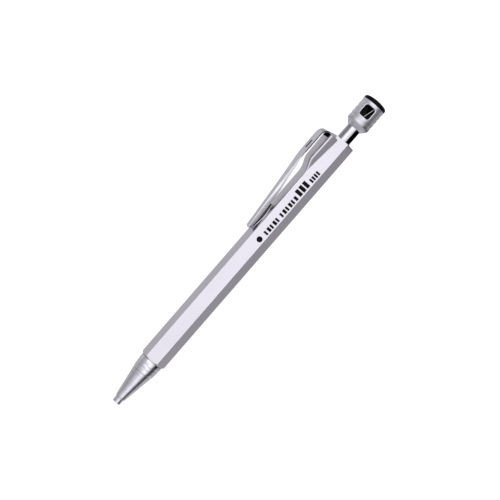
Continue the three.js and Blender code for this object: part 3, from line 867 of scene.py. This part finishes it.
def blade():
    """The steel blade on edge beside the lead: ground to a bevel along the edge that cuts."""
    thick, height = BLADE_THICK, BLADE_HEIGHT
    bevel, chamfer, end_chamfer = 0.56, 0.06, 0.03
    section = [
        (0, 0, 0.01),
        (0, height - chamfer),
        (-chamfer, height),
        (-thick + chamfer, height),
        (-thick, height - chamfer),
        (-thick, bevel),
    ]
    outline = softened(section, 0.02, closed=True)
    rotation = Matrix.Rotation(-BLADE_SLOPE, 3, "Z")
    middle = Vector((-thick / 2, height / 2))
    rings = []
    for x, shrink in (
        (BLADE_FRONT, end_chamfer),
        (BLADE_FRONT + end_chamfer, 0),
        (BLADE_LENGTH - end_chamfer, 0),
        (BLADE_LENGTH, end_chamfer),
    ):
        ring = [middle + (Vector(p) - middle) * (1 - shrink) for p in outline]
        rings.append([tuple(rotation @ Vector((x, p.x, p.y)) + Vector(BLADE_AT)) for p in ring])
    verts, faces = lofted(rings)
    piece("sharpener_edge", verts, faces, "blade_steel", "knob", ["sharpener_blade"])


# ---------------- clip

# The strip's thickness, the place, height and radius of its rear bend, the height of its root, half its
# width, the steps across half its flat, how much thinner its tongue is, how far its cut edge leans in, and
# the rows of points round its slot.
SHEET = 0.5
LEVER_REAR, LEVER_TOP, LEVER_BEND = 124.05, 9.71, 2.9
LEVER_ROOT, LEVER_HALF = 6.1, 2.14
WEB_HALF_STEPS = 4
TONGUE_THINNING = 0.36
CUT_EDGE_LEAN = 0.1
SLOT_ROWS = 14


def clip_base():
    """The raised wedge: an S-shaped ramp, a flat top with rounded edges and a rounded rear end."""
    front, ramp_end, rear = 106.6, 113, 123.8
    front_half, rear_half = 2.5, 3.2
    top_d, skirt_d, edge_r = 6.59, 2.9, 0.7
    low_d = APOTHEM + 0.02
    ramp_steps, arc_steps, round_steps = 18, 6, 6
    round_r, support = 0.6, 0.03

    def section(x, half, top):
        """The closed outline at x: the skirt's sides, the rounded edges and the top."""
        edge = min(edge_r, (top - low_d) * 0.9 + 0.01)
        arc = [
            (half - edge + edge * math.cos(a), top - edge + edge * math.sin(a))
            for a in (math.radians(90 * k / arc_steps) for k in range(arc_steps + 1))
        ]
        right = [(half, skirt_d), (half, top - edge - support), *arc, (half - edge - support, top)]
        left = [(-y, d) for y, d in reversed(right)]
        return [(x, y, d) for y, d in [*right, *left]]

    rings = []
    for k in range(ramp_steps + 1):
        x = mix(front, ramp_end, k / ramp_steps)
        half = mix(front_half, rear_half, share(x, front, rear))
        rings.append(section(x, half, mix(low_d, top_d, smooth(k / ramp_steps))))
    for k in range(round_steps + 1):
        turn = math.radians(90 * k / round_steps)
        x = rear - round_r + round_r * math.sin(turn)
        inset = round_r * (1 - math.cos(turn))
        rings.append(section(x, rear_half - inset, top_d - 0.25 * inset))
    verts, faces = lofted(rings)
    saddle = piece(
        "clip_saddle", verts, faces, "saddle_aluminium", "barrel", ["clip_base"],
        to_frame=CLIP_TO_FRAME,
    )
    # The notch's cut faces come out black: painted shade in the pocket under the strip's bend.
    notch_front, notch_floor, notch_half = 121.95, 5.2, LEVER_HALF + 0.15
    notch = box_mesh((notch_front, -notch_half, notch_floor), (rear + 1, notch_half, top_d + 1))
    cut_away(saddle, [notch], CLIP_TO_FRAME)


def lever_stations():
    """Places along the strip's outer side, from its root to its tongue's end. Each is its x, d and heading
    in degrees, then half its flat's width, half its whole width, the drop of its folded sides, their wave,
    and its painted light mark: 0, falling to -1 where shade is painted dark."""
    rear = (2.05, LEVER_HALF, 0.0, 0.0, 0.0)
    stations = [(LEVER_REAR, LEVER_ROOT, 90, *rear), (LEVER_REAR, LEVER_ROOT + 0.4, 90, *rear)]
    for angle in range(0, 91, 10):
        turn = math.radians(angle)
        x = LEVER_REAR - LEVER_BEND + LEVER_BEND * math.cos(turn)
        d = LEVER_TOP - LEVER_BEND + LEVER_BEND * math.sin(turn)
        stations.append((x, d, 90 + angle, *rear))
    slot_rows = [118.85 - 0.45 * k for k in range(SLOT_ROWS)]
    arm = [(x, LEVER_TOP, 180, 2.05, 0.0) for x in slot_rows] + [
        (112.4, LEVER_TOP, 180, 2.04, 0.02), (111.3, 9.705, 180.7, 2.0, 0.13),
        (110, 9.68, 181.5, 1.88, 0.28), (108.8, 9.64, 182.3, 1.7, 0.5), (107.5, 9.58, 183, 1.53, 0.7),
        (105.2, 9.42, 184.5, 1.27, 0.92), (101.6, 9.12, 185, 1.05, 1.05), (99, 8.89, 185, 1.0, 1.25),
        (96.6, 8.67, 185, 0.95, 1.42), (93.7, 8.41, 185.2, 0.88, 1.4), (90.8, 8.14, 185.4, 0.82, 1.35),
        (85, 7.58, 186, 0.8, 1.2), (82, 7.27, 186, 0.78, 1.0),
    ]
    for x, d, heading, flat, drop in arm:
        half = mix(1.75, LEVER_HALF, share(x, 82, 96))
        stations.append((x, d, heading, flat, half, drop, 1 - smooth(share(x, 91, 101)), 0.0))
    # Round the nose the mark falls to -1, so painted shade fades in towards the tongue.
    nose_x, nose_d, nose_r, nose_steps = 79.95, 6.15, 0.93, 12
    for k in range(nose_steps + 1):
        t = k / nose_steps
        heading = mix(186, 352, t)
        turn = math.radians(heading - 90)
        x, d = nose_x + nose_r * math.cos(turn), nose_d + nose_r * math.sin(turn)
        section = (mix(0.78, 1.1, t), mix(1.6, 1.25, t), 0.7 * (1 - t) ** 2, 1 - t)
        stations.append((x, d, heading, *section, -smooth(share(t, 0.5, 1))))
    # The tongue is marked -1: painted near black as shade, and made thinner.
    for x, d, heading in (
        (81.5, 4.92, 352), (83, 4.71, 353), (84.8, 4.52, 357), (86, APOTHEM + 0.04, 360),
        (87.3, 4.56, 367), (89, 4.85, 372), (90.9, 5.3, 375),
    ):
        stations.append((x, d, heading, 1.1, 1.25, 0.0, 0.0, -1.0))
    return stations


def lever_section(flat, half, drop, wave):
    """Points across the strip's outer side, with rounded folds, and the way in at each. wave bends the
    folded side from straight (0) to a step with a flared lip (1)."""
    wide = half - flat
    fold = min(0.5, math.hypot(wide, drop) * 0.4, flat * 0.45)
    upper = (flat + wide * mix(0.33, 0.42, wave), -drop * mix(0.33, 0.40, wave), 0.08)
    lower = (flat + wide * mix(0.67, 0.385, wave), -drop * mix(0.67, 0.68, wave), 0.1)
    side = softened([(half, -drop), lower, upper, (flat, 0, fold), (0, 0)], 0)[:-1]
    inner_y = side[-1][0]
    web = [(inner_y * (1 - k / WEB_HALF_STEPS), 0.0) for k in range(1, WEB_HALF_STEPS + 1)]
    right = side + web
    points = [(-y, n) for y, n in right] + right[-2::-1]
    inward = []
    for i in range(len(points)):
        before, after = points[max(i - 1, 0)], points[min(i + 1, len(points) - 1)]
        along = (Vector(after) - Vector(before)).normalized()
        inward.append((along.y, -along.x))
    return points, inward


def clip_lever():
    """The sprung arm: one strip that bends over at the rear, folds down at its sides and tucks under."""
    outer, inner = [], []
    stations = lever_stations()
    for x, d, heading, flat, half, drop, wave, painted_light_mark in stations:
        turn = math.radians(heading - 90)
        out = Vector((math.cos(turn), 0, math.sin(turn)))
        place = Vector((x, 0, d))
        points, inward = lever_section(flat, half, drop, wave)
        thick = SHEET * (1 + TONGUE_THINNING * painted_light_mark)
        outer.append([place + Vector((0, y, 0)) + out * n for y, n in points])
        inner.append([
            place + Vector((0, y + iy * thick, 0)) + out * (n + inn * thick)
            for (y, n), (iy, inn) in zip(points, inward)
        ])
    first = next(i for i, s in enumerate(stations) if s[0] < LEVER_REAR - LEVER_BEND and s[2] == 180)
    rows = (first + 1, first + SLOT_ROWS - 2)
    middle = len(outer[0]) // 2
    columns = (middle - 2, middle + 2)
    slot_centre = (stations[rows[0]][0] + stations[rows[1]][0]) / 2

    def place_in_slot(x, y, depth):
        """The strip's point at x and y, mirrored because its rows run forwards."""
        return (2 * slot_centre - x, y, LEVER_TOP - SHEET * depth)

    slot = (1.8, 0.45, 0.4)
    # The slot's wall is marked -1: painted shade.
    rings = [(0.05, 0, 0), (0.01, 0.04, 0), (0, 0.1, -1), (0, 0.95, -1)]
    hole = Hole(rows, columns, slot_centre, slot, rings, place_in_slot)
    rim = [(0.006, 0.02), (0.01, 0.05), (0.01, 0.1), (0.01, 0.9), (0.01, 0.95), (0.006, 0.98)]
    undercut = [CUT_EDGE_LEAN * (1 + station[-1]) for station in stations]
    verts, faces, marks = sheet(outer, inner, hole=hole, rim=rim, undercut=undercut)
    # The outer side takes each station's mark, so the tongue and the nose's rear are painted dark as shade.
    for i, station in enumerate(stations):
        for j in range(len(outer[0])):
            marks[i * len(outer[0]) + j] = station[-1]
    piece(
        "clip_arm", verts, faces, "clip_chrome", "clip", ["clip_lever"],
        to_frame=CLIP_TO_FRAME, sharp=40, marks=marks,
    )


# ---------------- hidden parts, stage and camera


def dress_hidden_parts():
    """The mechanism's CAD nodes keep their shapes and get their finishes."""
    finishes = {part["node"]: part["material_slot"] for part in frame["record"]["subparts"]}
    for name, obj in frame["nodes"].items():
        if obj.hide_render:
            continue
        material = MATERIALS[finishes[name]]
        if not obj.material_slots:
            obj.data.materials.append(material)
        for holder in obj.material_slots:
            holder.material = material


def stage_sheet(name, corners, material):
    """A flat sheet for the stage. It casts no shadow and sheds no light on the pencil."""
    mesh = bpy.data.meshes.new(name)
    mesh.from_pydata(corners, [], [(0, 1, 2, 3)])
    mesh.materials.append(material)
    obj = bpy.data.objects.new(name, mesh)
    obj.visible_diffuse = obj.visible_shadow = False
    bpy.context.scene.collection.objects.link(obj)
    return obj


def floor():
    """A plain pale table top, just under the lowest point of the pencil. Only the camera sees it: the
    pencil's own light comes from the tent round it, so the metal mirrors that."""
    reach, gap = 6.0, 0.00002
    low = cad_box[0].z - gap
    corners = [(-reach, -reach, low), (reach, -reach, low), (reach, reach, low), (-reach, reach, low)]
    n = Nodes("table_top")
    paper = n.noise(1.5, detail=4.0)
    tinted = n.mixed(n.between(paper, 0.3, 0.7, 0, 1), (0.885, 0.885, 0.885), (0.9, 0.9, 0.9))
    n.set(Base_Color=tinted, Roughness=0.9, Specular_IOR_Level=0.1)
    table = n.set(Emission_Color=(1, 1, 1, 1), Emission_Strength=0.75)
    stage_sheet("floor", corners, table).visible_glossy = False


# How bright the light tent is at each angle round the pencil: 0 straight up, positive towards the clip.
# The first list is square to the pencil, the second leans towards its tip.
TENT = (
    (-180, 0.50), (-132, 0.41), (-112, 0.37), (-102, 0.31), (-96, 0.22), (-90, 0.09), (-82, 0.02),
    (-72, 0.012), (-65, 0.04), (-59, 0.16), (-53, 0.42), (-47, 0.76), (-40, 0.88), (-28, 0.95), (-18, 1.08),
    (-8, 1.27), (14, 1.38), (27, 1.32), (33, 0.98), (38, 0.66), (44, 0.60), (50, 0.53), (62, 0.45),
    (73, 0.38), (84, 0.46), (95, 0.56), (110, 0.58), (131, 0.56), (180, 0.50),
)
TENT_AT_TIP = (
    (-180, 0.60), (-132, 0.66), (-106, 0.62), (-98, 0.50), (-90, 0.30), (-84, 0.14), (-76, 0.05),
    (-68, 0.05), (-60, 0.14), (-53, 0.36), (-45, 0.70), (-36, 1.08), (-26, 1.26), (-16, 1.27), (-8, 1.12),
    (2, 0.97), (14, 0.80), (28, 0.67), (44, 0.56), (56, 0.48), (68, 0.41), (78, 0.40), (88, 0.47),
    (110, 0.57), (131, 0.57), (180, 0.52),
)
# The brightest value in both lists, the light straight along the pencil, how far along it fades to that,
# where the second list takes over, the light's tint, and what the camera sees beyond the floor.
TENT_PEAK = 1.4
TENT_ENDS = 0.48
TENT_FADE = (0.45, 0.95)
TIP_FADE = (-0.06, -0.26)
TENT_TINT = (0.99, 0.975, 1.03, 1)
BACKDROP = 1.12


def light_tent():
    """Soft light from all round: a wide softbox above, a dark card on one side, pale screens elsewhere."""
    n = Nodes("light_tent", world=True)
    bpy.context.scene.world = n.owner
    split = n.add("SeparateXYZ", {0: n.add("TexCoord").outputs["Generated"]})
    angle = n.math("ARCTAN2", split.outputs["Y"], split.outputs["Z"])
    turn = n.add("MapRange", {"Value": angle, "From Min": -math.pi, "From Max": math.pi}).outputs[0]

    def ring(brightness):
        """The tent's light for the angle round the pencil."""
        ramp = n.add("ValToRGB", {0: turn})
        stops = ramp.color_ramp.elements
        for degrees, _ in brightness[1:-1]:
            stops.new((degrees + 180) / 360)
        for stop, (_, bright) in zip(stops, brightness):
            stop.color = (bright / TENT_PEAK,) * 3 + (1,)
        return ramp.outputs[0]

    def blend(factor, first, second):
        """From the first number or socket to the second as factor goes from 0 to 1."""
        return n.add("Mix", {0: factor, 2: first, 3: second}, data_type="FLOAT").outputs[0]

    lean = n.between(split.outputs["X"], *TIP_FADE, 0, 1)
    round_light = blend(lean, ring(TENT), ring(TENT_AT_TIP))
    endwise = n.between(n.math("ABSOLUTE", split.outputs["X"]), *TENT_FADE, 0, 1)
    whole = blend(endwise, round_light, TENT_ENDS / TENT_PEAK)
    strength = n.math("MULTIPLY", whole, TENT_PEAK)
    seen = blend(n.add("LightPath").outputs["Is Camera Ray"], strength, BACKDROP)
    n.set(Strength=seen, Color=TENT_TINT)


def stem_cards():
    """Two cards beside the stem that only mirrors show: the black one darkens the side away from the clip,
    and the grey one draws a soft line on the clip's side. They run from the barrel's end to the button,
    moved along a little because the camera sees them at a slant."""
    start_shift, end_shift = 0.0013, 0.0023
    start = BARREL_HIGH.x + start_shift
    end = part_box("knob_shell")[0].x + end_shift
    # Each card: its name, place across the pencil, lower and upper edge from the axis, and brightness.
    for name, y, low, high, grey in (
        ("black_card", -0.013, -0.04, 0.0135, 0.002), ("grey_card", 0.013, -0.004, 0.0125, 0.6),
    ):
        bottom, top = AXIS_Z + low, AXIS_Z + high
        corners = [(start, y, bottom), (end, y, bottom), (end, y, top), (start, y, top)]
        card = Nodes(name).set(
            Base_Color=(grey, grey, grey, 1), Roughness=1.0, Specular_IOR_Level=0.0
        )
        stage_sheet(name, corners, card).visible_camera = False


def camera():
    """Looks down on the printed flat, three degrees off it, with the pencil rising to the right."""
    distance, seen_width, sensor_width = 0.55, 0.18055, 36
    lean, roll = math.radians(3), math.radians(49.035)
    aim = Vector((0.0009, -0.00048, AXIS_Z))
    back = Vector((0, -math.sin(lean), math.cos(lean)))
    along = Vector((1, 0, 0))
    across = back.cross(along)
    right = along * math.cos(roll) - across * math.sin(roll)
    up = along * math.sin(roll) + across * math.cos(roll)
    data = bpy.data.cameras.new("camera")
    data.sensor_width = sensor_width
    data.lens = sensor_width * distance / seen_width
    data.clip_start, data.clip_end = 0.01, 20
    obj = bpy.data.objects.new("camera", data)
    turned = Matrix((right, up, back)).transposed().to_4x4()
    obj.matrix_world = Matrix.Translation(aim + back * distance) @ turned
    bpy.context.scene.collection.objects.link(obj)
    bpy.context.scene.camera = obj


camera()
light_tent()
floor()
stem_cards()
barrel()
print_marks()
nose()
tip_sleeve()
lead()
stem()
rear_bush()
knob()
sharpener()
blade()
clip_base()
clip_lever()
dress_hidden_parts()
bpy.context.scene.view_settings.view_transform = "Standard"
